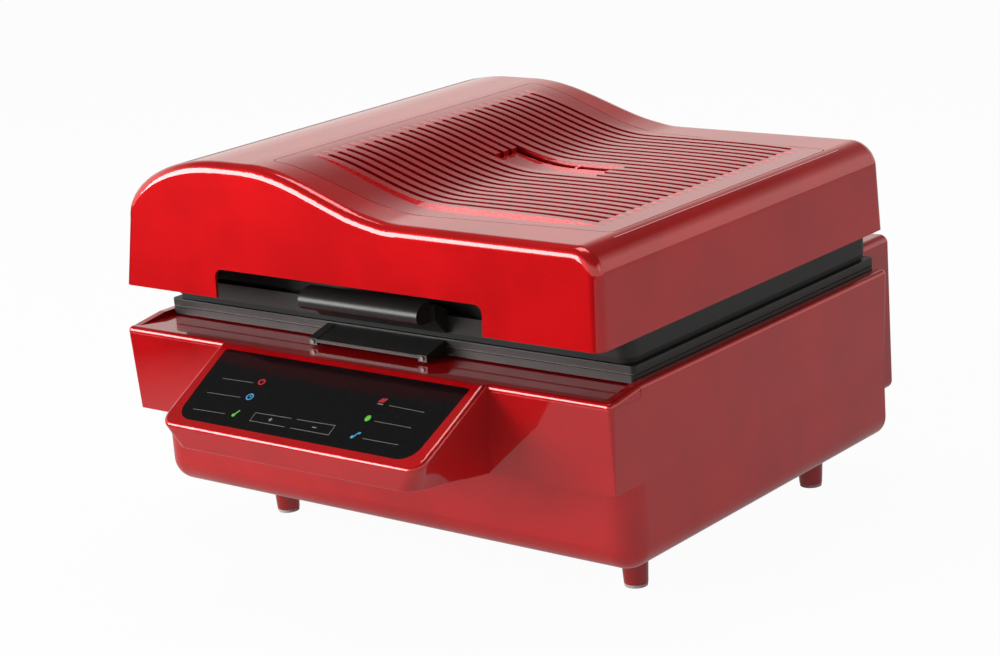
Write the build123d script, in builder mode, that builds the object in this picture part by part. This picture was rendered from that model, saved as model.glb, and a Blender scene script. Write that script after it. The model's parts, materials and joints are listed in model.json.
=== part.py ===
from build123d import *
import math
import os

os.makedirs("parts", exist_ok=True)

# ---------------------------------------------------------------------------
# Driving dimensions, millimetres. X runs along the front, +Y to the rear, +Z up.
# Plan sizes are counted from the middle of the lid; `mid` puts the whole
# machine's footprint on the origin.
# ---------------------------------------------------------------------------
wall = 3.0                 # moulded shells
sheet = 1.5                # pressed steel parts
tray_sheet = 2.0
fit_gap = 0.3              # between pieces that seat in each other
slide_gap = 0.1            # fastener in its hole, on the radius

# heights, stacked from the floor
foot_height = 50.0         # floor to the underside of the lower shell
lower_height = 80.0
band_height = 81.5         # front band of the upper shell, up to the ledge
rim_rise = 5.0             # side rims above the ledge
frame_lift = 1.5           # ledge to the underside of the membrane frame
ring_thick = 7.0           # each of the two clamp rings
membrane_thick = 1.2
seal_thick = 5.2           # seal between the membrane frame and the heater tray
tray_height = 16.0
lid_gap = 4.3              # heater tray to the lid's lower edge
crest_rise = 125.0         # lid edge to the top of the hump
flat_rise = 85.5           # lid edge to the low, flat side

split_z = foot_height + lower_height
ledge_z = split_z + band_height
rim_z = ledge_z + rim_rise
frame_z = ledge_z + frame_lift
membrane_z = frame_z + ring_thick
upper_ring_z = membrane_z + membrane_thick
frame_top = upper_ring_z + ring_thick
seal_z = frame_top + fit_gap
tray_z = seal_z + seal_thick
tray_top = tray_z + tray_height
lid_z = tray_top + lid_gap
crest_z = lid_z + crest_rise
flat_z = lid_z + flat_rise

# plan sizes
lid_half = 280.0
lid_reach = 225.0          # lid centre to its front and rear lower edges
base_half = lid_half + 6.0
base_front = 224.0
base_back = 218.0
base_corner = 5.0
lower_inset = 5.0          # lower shell inside the upper one, at the sides and back
band_overhang = 24.0       # front band beyond the lower shell
lower_corner = 24.0        # front corners; the rear ones are square
lower_round = 22.0         # bottom edges of the lower shell
console_half = 156.5
panel_lift = 1.6           # the sloping panel's plane over the ledge's front edge
console_drop = 50.4        # from there to the lowest edge of the sloping panel
console_front = 317.0
console_chin = 312.5       # front of the console at its lower edge
chin_rise = 10.0           # the console's lower edge climbs this much to the front
chin_half_front = 138.0
chin_half_back = 149.0
chin_corner = 14.0
rim_corner = 16.0
ledge_depth = 42.0         # front ledge, ahead of the side rims
frame_half = lid_half - 6.5
frame_front = 173.0
frame_back = 214.0
rail = 45.0
housing_half = base_half - 27.0
housing_depth = 50.0
housing_low = 82.0
housing_top = 236.0
housing_round = 8.0

# hinges
hinge_x = base_half - 96.0
hinge_y = 241.0
hinge_z = 247.0
pin_radius = 4.0
pin_clearance = 0.05
knuckle_radius = 8.0
knuckle_width = 14.0
knuckle_gap = 1.0
ear_thick = 4.0

# the machine's own planes
guard_proud = 4.0          # fan guard behind the rear housing
housing_back = base_back + housing_depth
rear_reach = housing_back + guard_proud
front_rounding = 0.496     # what the rounded console edge takes off its front
mid = (console_front - front_rounding - rear_reach) / 2
ground = Plane((0, mid, 0))
front_view = Plane((0, mid, 0), x_dir=(1, 0, 0), z_dir=(0, -1, 0))
side_view = Plane((0, mid, 0), x_dir=(0, 1, 0), z_dir=(1, 0, 0))


def finish(part, label):
    part.label = label
    export_step(part, f"parts/{label}.step")
    return part


# ---------------------------------------------------------------------------
# Lid: the wave-shaped shell
# ---------------------------------------------------------------------------
lean = 10.0                # the hump side leans in this much
shoulder_rise = 64.0       # lid edge to the start of the big shoulder curve
crest_x = -150.0
wave_start = -115.0
wave_end = 65.0
low_corner = 25.0          # rounding at the flat side
front_draft = 0.05
lid_edge_round = 10.0
wave_points = 9


def wave(x):
    """Height of the lid's top between the hump and the flat side."""
    share = min(max((x - wave_start) / (wave_end - wave_start), 0.0), 1.0)
    return flat_z + (crest_z - flat_z) * (1 + math.cos(math.pi * share)) / 2


def wave_line(x_from, x_to, lift=0.0, count=wave_points):
    step = (x_to - x_from) / (count - 1)
    return [(x_from + i * step, wave(x_from + i * step) + lift) for i in range(count)]


def lid_form(inset, floor=lid_z):
    """The lid's outer body, or with an inset the hollow inside it."""
    shoulder_z = lid_z + shoulder_rise
    left = lid_half - inset
    with BuildPart() as form:
        with BuildSketch(front_view):
            with BuildLine():
                foot = Line((-left, floor), (-left + lean, shoulder_z))
                hump = EllipticalCenterArc(
                    (crest_x, shoulder_z),
                    crest_x - (foot @ 1).X,
                    crest_z - inset - shoulder_z,
                    start_angle=90,
                    arc_size=90,
                )
                top = Line((crest_x, crest_z - inset), (wave_start, crest_z - inset))
                slope = Spline(
                    wave_line(wave_start, wave_end, -inset),
                    tangents=[(1, 0), (1, 0)],
                )
                flat = Line(slope @ 1, (lid_half - low_corner - 1, flat_z - inset))
                corner = JernArc(flat @ 1, (1, 0), low_corner - inset, -90)
                side = Line(corner @ 1, (left, floor))
                Line(side @ 1, foot @ 0)
            make_face()
        extrude(amount=lid_reach, both=True)
        tall = crest_rise + 1
        with BuildSketch(side_view):
            with BuildLine():
                reach = lid_reach - inset
                Polyline(
                    (-reach - front_draft * (lid_z - floor), floor),
                    (reach + front_draft * (lid_z - floor), floor),
                    (reach - front_draft * tall, lid_z + tall),
                    (-reach + front_draft * tall, lid_z + tall),
                    close=True,
                )
            make_face()
        extrude(amount=lid_half, both=True, mode=Mode.INTERSECT)
        ends = form.faces().sort_by(Axis.Y)
        for end in (ends[0], ends[-1]):
            fillet(end.edges().sort_by(Axis.Z)[1:], lid_edge_round - inset)
    return form.part


# ---------------------------------------------------------------------------
# Helpers for plan outlines and wave-shaped slabs
# ---------------------------------------------------------------------------
def plan_box(half, front, back, corner=0.0, mode=Mode.ADD):
    """A rectangle in plan, from `front` ahead of the lid's centre to `back` behind it."""
    with Locations((0, (back - front) / 2)):
        if corner:
            RectangleRounded(2 * half, front + back, corner, mode=mode)
        else:
            Rectangle(2 * half, front + back, mode=mode)


def plan_ring(half, front, back, corner, width):
    """The same outline as a ring, `width` wide inwards."""
    plan_box(half, front, back, corner)
    inner = max(corner - width, 0.0)
    plan_box(half - width, front - width, back - width, inner, mode=Mode.SUBTRACT)


def bars(ends, radius):
    """Round bars between pairs of points (x, y, z)."""
    with BuildPart() as rods:
        for start, stop in ends:
            a = Vector(start[0], start[1] + mid, start[2])
            b = Vector(stop[0], stop[1] + mid, stop[2])
            with BuildSketch(Plane(origin=a, z_dir=b - a)):
                Circle(radius)
            extrude(amount=(b - a).length)
    return rods.part


# the window that the louvred panel lies in, a trapezium in plan
window_left = -104.0
window_right = lid_half - 24.0
window_left_reach = 191.0
window_right_reach = 167.0
window_round = 7.0
seam = 0.8
seat_width = 8.0
panel_thick = 3.0
seat_thick = 3.0


def window(inset):
    """Corners of the window's outline in plan."""
    return [
        (window_left + inset, -window_left_reach + inset),
        (window_right - inset, -window_right_reach + inset),
        (window_right - inset, window_right_reach - inset),
        (window_left + inset, window_left_reach - inset),
    ]


def wave_slab(top_drop, bottom_drop, x_from, x_to, y_from, y_to):
    """A slab that follows the wave, between two depths below it."""
    with BuildPart() as slab:
        with BuildSketch(front_view.offset(-y_from)):
            with BuildLine():
                upper = Spline(wave_line(x_from, x_to, -top_drop, 17))
                lower = Spline(wave_line(x_from, x_to, -bottom_drop, 17))
                Line(upper @ 0, lower @ 0)
                Line(upper @ 1, lower @ 1)
            make_face()
        extrude(amount=-(y_to - y_from))
    return slab.part


notch_half = 157.0
notch_rise = 27.0
notch_round = 8.0
boss_radius = 7.0
boss_x = frame_half - 15.5
boss_rows = (-150.0, 20.0, 190.0)
screw_radius = 2.0
screw_head = 3.8
screw_head_height = 2.4
screw_bite = 14.0
boss_z = tray_z + tray_sheet
boss_places = [(side * boss_x, row) for side in (-1, 1) for row in boss_rows]

seat_top = panel_thick + fit_gap
tall = crest_rise + 10
lid_outer = lid_form(0)
lid_inner = lid_form(wall, lid_z - 1)

with BuildPart() as lid_bosses:
    with BuildSketch(ground.offset(boss_z)):
        with Locations(*boss_places):
            Circle(boss_radius)
    extrude(amount=flat_z - wall / 2 - boss_z)
    add(lid_form(wall / 2, boss_z), mode=Mode.INTERSECT)
    with BuildSketch(ground.offset(flat_z - seat_top)):
        Polygon(*window(-seat_width), align=None)
    extrude(amount=tall, mode=Mode.SUBTRACT)
    with BuildSketch(ground.offset(boss_z)):
        with Locations(*boss_places):
            Circle(screw_radius + slide_gap)
    extrude(amount=screw_bite, mode=Mode.SUBTRACT)

slab_left = window_left - seat_width
slab_right = window_right + seat_width
slab_reach = window_left_reach + seat_width

with BuildPart() as grille_seat:
    with BuildSketch(ground.offset(lid_z)):
        Polygon(*window(-seat_width), align=None)
        Polygon(*window(seat_width), align=None, mode=Mode.SUBTRACT)
    extrude(amount=tall)
    add(
        wave_slab(wall / 2, seat_top + seat_thick, slab_left, slab_right, -slab_reach, slab_reach),
        mode=Mode.INTERSECT,
    )

with BuildPart() as panel_rebate:
    with BuildSketch(ground.offset(lid_z)) as rebate_plan:
        Polygon(*window(0), align=None)
        fillet(rebate_plan.vertices(), window_round)
    extrude(amount=tall)
    add(
        wave_slab(-5, seat_top, slab_left, slab_right, -slab_reach, slab_reach),
        mode=Mode.INTERSECT,
    )

with BuildPart() as lid_shell:
    add(lid_outer)
    add(lid_inner, mode=Mode.SUBTRACT)
    add(grille_seat.part)
    add(panel_rebate.part, mode=Mode.SUBTRACT)
    with BuildSketch(ground.offset(lid_z)):
        Polygon(*window(seat_width), align=None)
    extrude(amount=tall, mode=Mode.SUBTRACT)
    add(lid_bosses.part)
    # hand notch in the front lower edge
    with BuildSketch(front_view.offset(lid_reach - 4 * wall)) as notch:
        with Locations((0, lid_z)):
            Rectangle(2 * notch_half, 2 * notch_rise)
        fillet(notch.vertices().group_by(Axis.Y)[-1], notch_round)
    extrude(amount=8 * wall, mode=Mode.SUBTRACT)

finish(lid_shell.part, "lid_shell")

# ---------------------------------------------------------------------------
# Louvred panel: a thin wave sheet with a field of raised blades over slots
# ---------------------------------------------------------------------------
rib_left = -90.0
rib_right = window_right - 22.0
rib_front = -148.0
rib_pitch = 12.4
rib_count = 26
rib_width = 7.0
rib_rise = 2.6
rib_depth = 3.2
rib_lap = 11.0             # how far each blade end lies on the sheet
stiffener_width = 3.0
stiffener_depth = 8.0
stiffener_rows = (-20.0, 70.0, 160.0)
pocket_left = 2.0
pocket_right = 118.0
pocket_ribs = (12, 14)     # first and last blade that the bare pocket interrupts
pocket_drop = 2.5

rib_rows = [rib_front + i * rib_pitch for i in range(rib_count)]
rib_back = rib_rows[-1]
pocket_front = rib_rows[pocket_ribs[0]] - rib_width / 2 - 1
pocket_back = rib_rows[pocket_ribs[1]] + rib_width / 2 + 1


def blade_line(count=15):
    """Top of one blade: it grows out of the sheet and sinks back at each end."""
    points = []
    for i in range(count):
        share = i / (count - 1)
        x = rib_left + share * (rib_right - rib_left)
        points.append((x, wave(x) + rib_rise * (1 - (2 * share - 1) ** 4)))
    return points


with BuildPart() as blades:
    for row in rib_rows:
        with BuildSketch(front_view.offset(-row - rib_width / 2)):
            with BuildLine():
                crown = Spline(blade_line())
                belly = Spline(wave_line(rib_left, rib_right, -rib_depth, 15))
                Line(crown @ 0, belly @ 0)
                Line(crown @ 1, belly @ 1)
            make_face()
        extrude(amount=rib_width)

with BuildPart() as grille_panel:
    with BuildSketch(ground.offset(lid_z)) as panel_plan:
        Polygon(*window(seam), align=None)
        fillet(panel_plan.vertices(), window_round - seam)
    extrude(amount=tall)
    add(
        wave_slab(0, panel_thick, slab_left, slab_right, -slab_reach, slab_reach),
        mode=Mode.INTERSECT,
    )
    with BuildSketch(ground.offset(lid_z)):
        with Locations(((rib_left + rib_right) / 2, (rib_front + rib_back) / 2)):
            Rectangle(rib_right - rib_left - 2 * rib_lap, rib_back - rib_front)
    extrude(amount=tall, mode=Mode.SUBTRACT)
    add(blades.part)
    for x in stiffener_rows:
        stiffener_left = x - stiffener_width / 2
        stiffener_right = x + stiffener_width / 2
        add(
            wave_slab(
                rib_depth / 2, stiffener_depth, stiffener_left, stiffener_right, rib_front, rib_back
            )
        )
    # bare pocket in the blades
    add(
        wave_slab(-5, pocket_drop, pocket_left, pocket_right, pocket_front, pocket_back),
        mode=Mode.SUBTRACT,
    )
    add(
        wave_slab(
            pocket_drop, pocket_drop + sheet, pocket_left, pocket_right, pocket_front, pocket_back
        )
    )

finish(grille_panel.part, "grille_panel")

# ---------------------------------------------------------------------------
# Heater tray under the lid, its reflector, lamps and guard
# ---------------------------------------------------------------------------
tray_half = frame_half - 3.5
tray_front = frame_front
tray_back = 212.0
tray_corner = 14.0
mouth_half = tray_half - 42.0
mouth_front = 131.0
mouth_back = 176.0
box_half = tray_half - 20.0
box_front = 158.0
box_back = 200.0
box_top = 300.0
vent_pitch = box_half * 0.24
vent_rows = [step * vent_pitch for step in (-3, -2, -1, 0, 1, 2, 3)]

with BuildPart() as heater_tray:
    with BuildSketch(ground.offset(tray_z)):
        plan_box(tray_half, tray_front, tray_back, tray_corner)
        plan_box(mouth_half, mouth_front, mouth_back, mode=Mode.SUBTRACT)
        with Locations(*boss_places):
            Circle(screw_radius + slide_gap, mode=Mode.SUBTRACT)
    extrude(amount=tray_sheet)
    with BuildSketch(ground.offset(tray_z)):
        plan_ring(tray_half, tray_front, tray_back, tray_corner, tray_sheet)
    extrude(amount=tray_height)
    with BuildSketch(ground.offset(tray_z)):
        plan_ring(box_half, box_front, box_back, 0, tray_sheet)
    extrude(amount=box_top - tray_z)
    # air slots through the rear wall of the box
    with BuildSketch(front_view.offset(-box_back - 1)):
        with Locations(*[(x, box_top - 16) for x in vent_rows]):
            SlotOverall(40, 6)
    extrude(amount=tray_sheet + 2, mode=Mode.SUBTRACT)

finish(heater_tray.part, "heater_tray")

reflector_half = mouth_half - 2
reflector_front = mouth_front - 2
reflector_back = mouth_back - 2
reflector_top = 292.0
reflector_sheet = 1.0
flange = 14.0
tube_radius = 6.0
tube_z = 275.0
tube_pitch = 48.0
tube_count = 6
tube_half = mouth_half - 25.0
holder_half = mouth_half - 28.0
holder_thick = 16.0
middle_y = (reflector_back - reflector_front) / 2
tube_rows = [middle_y + (i - (tube_count - 1) / 2) * tube_pitch for i in range(tube_count)]
probe_radius = 3.0

with BuildPart() as heater_reflector:
    with BuildSketch(ground.offset(boss_z)):
        plan_box(reflector_half + flange, reflector_front + flange, reflector_back + flange, 6)
    extrude(amount=reflector_sheet)
    with BuildSketch(ground.offset(boss_z)):
        plan_box(reflector_half, reflector_front, reflector_back, 4)
    extrude(amount=reflector_top - boss_z)
    with BuildSketch(ground.offset(boss_z)):
        plan_box(
            reflector_half - reflector_sheet,
            reflector_front - reflector_sheet,
            reflector_back - reflector_sheet,
            3,
        )
    extrude(amount=reflector_top - reflector_sheet - boss_z, mode=Mode.SUBTRACT)
    with BuildSketch(ground.offset(boss_z)):
        with Locations((0, middle_y)):
            Circle(probe_radius + slide_gap)
    extrude(amount=reflector_top, mode=Mode.SUBTRACT)

finish(heater_reflector.part, "heater_reflector")

with BuildPart() as quartz_tubes:
    with BuildSketch(side_view.offset(-tube_half)):
        with Locations(*[(row, tube_z) for row in tube_rows]):
            Circle(tube_radius)
    extrude(amount=2 * tube_half)

finish(quartz_tubes.part, "quartz_tubes")

holder_top = reflector_top - reflector_sheet
holder_foot = tube_z - tube_radius - 4

with BuildPart() as tube_holders:
    for side in (-1, 1):
        with BuildSketch(side_view.offset(side * holder_half - holder_thick / 2)):
            with Locations(*[(row, (holder_top + holder_foot) / 2) for row in tube_rows]):
                Rectangle(22, holder_top - holder_foot)
            with Locations(*[(row, tube_z) for row in tube_rows]):
                Circle(tube_radius + slide_gap, mode=Mode.SUBTRACT)
        extrude(amount=holder_thick)

finish(tube_holders.part, "tube_holders")

guard_radius = 1.5
guard_z = 246.0
guard_half = reflector_half - reflector_sheet
guard_front = reflector_front - reflector_sheet
guard_back = reflector_back - reflector_sheet
rod_pitch = guard_half * 0.3733
guard_rods = [
    ((x, -guard_front, guard_z), (x, guard_back, guard_z))
    for x in (-2 * rod_pitch, -rod_pitch, 0, rod_pitch, 2 * rod_pitch)
]
guard_rods += [
    ((-guard_half, y, guard_z - 2.5), (guard_half, y, guard_z - 2.5)) for y in (-75, -26, 23, 72, 121)
]

finish(bars(guard_rods, guard_radius), "guard_mesh")

with BuildPart(ground) as temperature_probe:
    with Locations((0, middle_y, tube_z + 5)):
        Cylinder(probe_radius, 40)
    with Locations((0, middle_y, reflector_top + 2.5)):
        Cylinder(6, 5)

finish(temperature_probe.part, "temperature_probe")

terminal_x = mouth_half - 33.0
terminal_height = 16.0

with BuildPart(ground) as terminal_block:
    with Locations((terminal_x, middle_y, reflector_top + terminal_height / 2)):
        Box(26, 96, terminal_height)
    with Locations((terminal_x + 13, middle_y, reflector_top + terminal_height)):
        Box(20, 90, 10, mode=Mode.SUBTRACT)
    # one wire entry to each lamp, through the side wall
    with BuildSketch(side_view.offset(terminal_x - 13)):
        with Locations((middle_y, reflector_top + 5)):
            with GridLocations(15, 1, tube_count, 1):
                Circle(2.2)
    extrude(amount=16, mode=Mode.SUBTRACT)

finish(terminal_block.part, "terminal_block")

with BuildPart() as lid_screws:
    with BuildSketch(ground.offset(tray_z)):
        with Locations(*boss_places):
            Circle(screw_radius)
    extrude(amount=tray_sheet + screw_bite - 2)
    with BuildSketch(ground.offset(tray_z)):
        with Locations(*boss_places):
            Circle(screw_head)
    extrude(amount=-screw_head_height)

finish(lid_screws.part, "lid_screws")

seal_width = 5.0
seal_inset = 2.0

with BuildPart() as lid_seal:
    with BuildSketch(ground.offset(seal_z)):
        plan_ring(
            tray_half - seal_inset,
            tray_front - seal_inset,
            tray_back - seal_inset,
            tray_corner - seal_inset,
            seal_width,
        )
    extrude(amount=seal_thick)

finish(lid_seal.part, "lid_seal")

# ---------------------------------------------------------------------------
# Lid handle
# ---------------------------------------------------------------------------
lid_handle_half = 70.0
lid_handle_front = 210.0
lid_handle_back = 190.0
lid_handle_low = 248.0
lid_handle_top = 267.0
mount_half = 75.0

with BuildPart() as lid_handle:
    with BuildSketch(side_view.offset(-lid_handle_half)):
        with BuildLine():
            heel = (-lid_handle_back, lid_handle_low)
            crown = (-lid_handle_back, lid_handle_top)
            Line(heel, crown)
            Bezier(
                crown,
                (-lid_handle_front - 1, lid_handle_top),
                (-lid_handle_front - 3, lid_handle_low + 4),
                (-lid_handle_front + 6, lid_handle_low),
            )
            Line((-lid_handle_front + 6, lid_handle_low), heel)
        make_face()
    extrude(amount=2 * lid_handle_half)

finish(lid_handle.part, "lid_handle")

with BuildPart() as lid_handle_mount:
    with BuildSketch(side_view.offset(-mount_half)):
        with BuildLine():
            Polyline(
                (-tray_front, tray_z + 1),
                (-tray_front, tray_top + 6),
                (-lid_handle_back, lid_handle_top - 2),
                (-lid_handle_back, lid_handle_low + 1),
                (-tray_front - 4, tray_z + 1),
                close=True,
            )
        make_face()
    extrude(amount=2 * mount_half)
    fillet(lid_handle_mount.edges().filter_by(Axis.X).group_by(Axis.Z)[-1], 2)

finish(lid_handle_mount.part, "lid_handle_mount")

# ---------------------------------------------------------------------------
# Hinges: three leaves on one pin at each side
# ---------------------------------------------------------------------------
hole_radius = pin_radius + pin_clearance
inner_edge = knuckle_gap / 2
outer_edge = inner_edge + knuckle_width
ear_inner = outer_edge + knuckle_gap
ear_outer = ear_inner + ear_thick
leaf_reach = 40.0
leaf_thick = 2.0


def hinge_part(profile, start, stop, side):
    """Extrude a side profile over a stretch of one hinge, counted outwards from its middle."""
    low = side * hinge_x + min(side * start, side * stop)
    with BuildPart() as piece:
        with BuildSketch(side_view.offset(low)):
            Polygon(*profile, align=None)
        extrude(amount=stop - start)
    return piece.part


def hinge_disc(radius, start, stop, side):
    """A cylinder on the hinge's axis over the same stretch."""
    low = side * hinge_x + min(side * start, side * stop)
    with BuildPart() as piece:
        with BuildSketch(side_view.offset(low)):
            with Locations((hinge_y, hinge_z)):
                Circle(radius)
        extrude(amount=stop - start)
    return piece.part


lid_arm = [
    (tray_back, hinge_z - 8.5),
    (tray_back, hinge_z + 2.5),
    (hinge_y - 6, hinge_z + 4.5),
    (hinge_y - 1, hinge_z - knuckle_radius + 0.5),
    (hinge_y - 5, hinge_z - 7),
]
lid_plate = [
    (tray_back, tray_z + 1.5),
    (tray_back, tray_top - 0.5),
    (tray_back + leaf_thick, tray_top - 0.5),
    (tray_back + leaf_thick, tray_z + 1.5),
]

with BuildPart() as lid_hinge_leaves:
    for side in (-1, 1):
        add(hinge_disc(knuckle_radius, inner_edge, outer_edge, side))
        add(hinge_part(lid_arm, inner_edge, outer_edge, side))
        add(hinge_part(lid_plate, inner_edge, leaf_reach, side))
        add(hinge_disc(hole_radius, 0, ear_outer, side), mode=Mode.SUBTRACT)

finish(lid_hinge_leaves.part, "lid_hinge_leaves")

frame_plate_thick = 2.5
frame_plate = [
    (frame_back, frame_z + 0.5),
    (frame_back, frame_top - 0.5),
    (frame_back + frame_plate_thick, frame_top - 0.5),
    (frame_back + frame_plate_thick, frame_z + 0.5),
]
frame_arm = [
    (frame_back, frame_top - 6),
    (frame_back, hinge_z - 3),
    (hinge_y - 6, hinge_z + 4),
    (hinge_y - 1, hinge_z - knuckle_radius + 0.5),
    (frame_back + frame_plate_thick, hinge_z - knuckle_radius + 0.5),
    (frame_back + frame_plate_thick, frame_top - 6),
]

with BuildPart() as frame_hinge_leaves:
    for side in (-1, 1):
        add(hinge_disc(knuckle_radius, -outer_edge, -inner_edge, side))
        add(hinge_part(frame_arm, -outer_edge, -inner_edge, side))
        add(hinge_part(frame_plate, -leaf_reach, -inner_edge, side))
        add(hinge_disc(hole_radius, -ear_outer, 0, side), mode=Mode.SUBTRACT)

finish(frame_hinge_leaves.part, "frame_hinge_leaves")

bracket_back = hinge_y + 25
bracket_foot = 4.0
ear_profile = [
    (hinge_y - knuckle_radius, housing_top),
    (hinge_y - knuckle_radius, hinge_z),
    (hinge_y - 5, hinge_z + knuckle_radius),
    (hinge_y + 5, hinge_z + knuckle_radius),
    (bracket_back, housing_top + bracket_foot),
    (bracket_back, housing_top),
]
foot_profile = [
    (hinge_y + knuckle_radius + 1, housing_top),
    (hinge_y + knuckle_radius + 1, housing_top + bracket_foot),
    (bracket_back, housing_top + bracket_foot),
    (bracket_back, housing_top),
]

with BuildPart() as hinge_brackets:
    for side in (-1, 1):
        add(hinge_part(ear_profile, -ear_outer, -ear_inner, side))
        add(hinge_part(ear_profile, ear_inner, ear_outer, side))
        add(hinge_part(foot_profile, -ear_outer, ear_outer, side))
        add(hinge_disc(hole_radius, -ear_outer, ear_outer, side), mode=Mode.SUBTRACT)

finish(hinge_brackets.part, "hinge_brackets")

pin_head = 6.0
pin_head_thick = 2.0

with BuildPart() as hinge_pins:
    for side in (-1, 1):
        add(hinge_disc(pin_radius, -ear_outer, ear_outer, side))
        add(hinge_disc(pin_head, ear_outer, ear_outer + pin_head_thick, side))
        add(hinge_disc(pin_head, -ear_outer - pin_head_thick, -ear_outer, side))

finish(hinge_pins.part, "hinge_pins")

# ---------------------------------------------------------------------------
# Membrane frame: two clamp rings with the silicone sheet between them
# ---------------------------------------------------------------------------
frame_corner = 4.0
rail_corner = 12.0
clamp_x = frame_half - rail / 2
clamp_places = [
    (-clamp_x, -150), (-clamp_x, -36), (-clamp_x, 77), (-clamp_x, 191),
    (clamp_x, -150), (clamp_x, -36), (clamp_x, 77), (clamp_x, 191),
    (-125, -150), (125, -150), (-125, 191), (125, 191),
]


def clamp_ring(height, hole):
    """One ring of the frame with its row of screw holes, lying on the current plane."""
    plan_box(frame_half, frame_front, frame_back, frame_corner)
    plan_box(frame_half - rail, frame_front - rail, frame_back - rail, rail_corner, Mode.SUBTRACT)
    with Locations(*clamp_places):
        Circle(hole, mode=Mode.SUBTRACT)


with BuildPart() as membrane_frame_lower:
    with BuildSketch(ground.offset(frame_z)):
        clamp_ring(ring_thick, screw_radius + slide_gap)
    extrude(amount=ring_thick)

finish(membrane_frame_lower.part, "membrane_frame_lower")

with BuildPart() as membrane_frame_upper:
    with BuildSketch(ground.offset(upper_ring_z)):
        clamp_ring(ring_thick, screw_radius + slide_gap)
    extrude(amount=ring_thick)
    # heads lie below the surface
    with BuildSketch(ground.offset(frame_top)):
        with Locations(*clamp_places):
            Circle(screw_head + slide_gap)
    extrude(amount=-screw_head_height - fit_gap, mode=Mode.SUBTRACT)
    fillet(membrane_frame_upper.edges().filter_by(Axis.X).group_by(Axis.Z)[-1], 1)

finish(membrane_frame_upper.part, "membrane_frame_upper")

with BuildPart() as silicone_membrane:
    with BuildSketch(ground.offset(membrane_z)):
        plan_box(frame_half - 2, frame_front - 2, frame_back - 2, frame_corner - 2)
        with Locations(*clamp_places):
            Circle(screw_radius + slide_gap, mode=Mode.SUBTRACT)
    extrude(amount=membrane_thick)

finish(silicone_membrane.part, "silicone_membrane")

with BuildPart() as frame_screws:
    with BuildSketch(ground.offset(frame_z + 1)):
        with Locations(*clamp_places):
            Circle(screw_radius)
    extrude(amount=frame_top - screw_head_height - frame_z - 1)
    with BuildSketch(ground.offset(frame_top - fit_gap)):
        with Locations(*clamp_places):
            Circle(screw_head)
    extrude(amount=-screw_head_height)

finish(frame_screws.part, "frame_screws")

# handle: a sloping plate between two end arms
frame_handle_half = 60.0
frame_handle_reach = 200.0
frame_arm_half = 70.0
frame_handle_thick = 3.5
handle_drop = 7.0
handle_lip = 3.0
handle_top = frame_top - 2.0
lip_top = handle_top - handle_drop

with BuildPart() as frame_handle:
    with BuildSketch(side_view.offset(-frame_handle_half)):
        Polygon(
            (-frame_front, handle_top),
            (-frame_handle_reach, lip_top),
            (-frame_handle_reach, lip_top - handle_lip),
            (-frame_handle_reach + 2, lip_top - handle_lip),
            (-frame_handle_reach + 2, lip_top - frame_handle_thick + 1.2),
            (-frame_front, handle_top - frame_handle_thick),
            align=None,
        )
    extrude(amount=2 * frame_handle_half)

finish(frame_handle.part, "frame_handle")

with BuildPart() as frame_handle_arms:
    for start in (-frame_arm_half, frame_handle_half):
        with BuildSketch(side_view.offset(start)):
            Polygon(
                (-frame_front, handle_top + 0.5),
                (-frame_handle_reach, lip_top + 0.5),
                (-frame_handle_reach, frame_z + 0.5),
                (-frame_front, frame_z + 0.5),
                align=None,
            )
        extrude(amount=frame_arm_half - frame_handle_half)
    # screw holes through each arm into the rail
    with BuildSketch(front_view.offset(frame_handle_reach)):
        with Locations(
            *[(side * (frame_arm_half - 5), frame_z + 3.6) for side in (-1, 1)]
        ):
            Circle(1.5 + slide_gap)
    extrude(amount=-(frame_handle_reach - frame_front), mode=Mode.SUBTRACT)

finish(frame_handle_arms.part, "frame_handle_arms")

with BuildPart() as frame_handle_screws:
    for side in (-1, 1):
        with BuildSketch(front_view.offset(frame_handle_reach)):
            with Locations((side * (frame_arm_half - 5), frame_z + 3.6)):
                Circle(1.5)
        extrude(amount=-(frame_handle_reach - frame_front))
        with BuildSketch(front_view.offset(frame_handle_reach)):
            with Locations((side * (frame_arm_half - 5), frame_z + 3.6)):
                Circle(2.0)
        extrude(amount=1.2)

finish(frame_handle_screws.part, "frame_handle_screws")

# ---------------------------------------------------------------------------
# Base: upper shell with ledge, side rims and the sloping console
# ---------------------------------------------------------------------------
band_taper = math.degrees(math.atan(0.05))
rim_width = base_half - frame_half - 1.5
top_round = 4.5
cap_seam = 0.8
well_half = base_half - 71.0
well_front = 118.0
well_back = 163.0
well_corner = 10.0
lower_half = base_half - lower_inset
lower_front = base_front - band_overhang
lower_back = base_back - 4
post_radius = 6.0
post_places = [(side * (lower_half - 31.0), row) for side in (-1, 1) for row in (-170.0, 20.0, 185.0)]

slope = math.atan2(console_drop, console_front - base_front)
slope_length = (console_front - base_front) / math.cos(slope)
panel_plane = Plane(
    origin=(0, mid - base_front, ledge_z + panel_lift),
    x_dir=(1, 0, 0),
    z_dir=(0, -math.sin(slope), math.cos(slope)),
)
chin_tilt = math.atan2(chin_rise, console_chin - base_front)
chin_length = (console_chin - base_front) / math.cos(chin_tilt)
chin_plane = Plane(
    origin=(0, mid - base_front, split_z),
    x_dir=(1, 0, 0),
    z_dir=(0, math.sin(chin_tilt), math.cos(chin_tilt)),
)
tuck = 14.0                # the console's outline runs on this far into the band
console_panel_thick = 5.5
console_edge_round = 4.0
chin_edge_round = 2.0
glass_thick = 2.5
glass_half_back = 144.6
glass_half_front = 138.8
glass_back = 8.5           # along the slope, from the ledge's front edge
glass_front = 96.7
glass_corner = 18.0
glass_seat = 5.0


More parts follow.
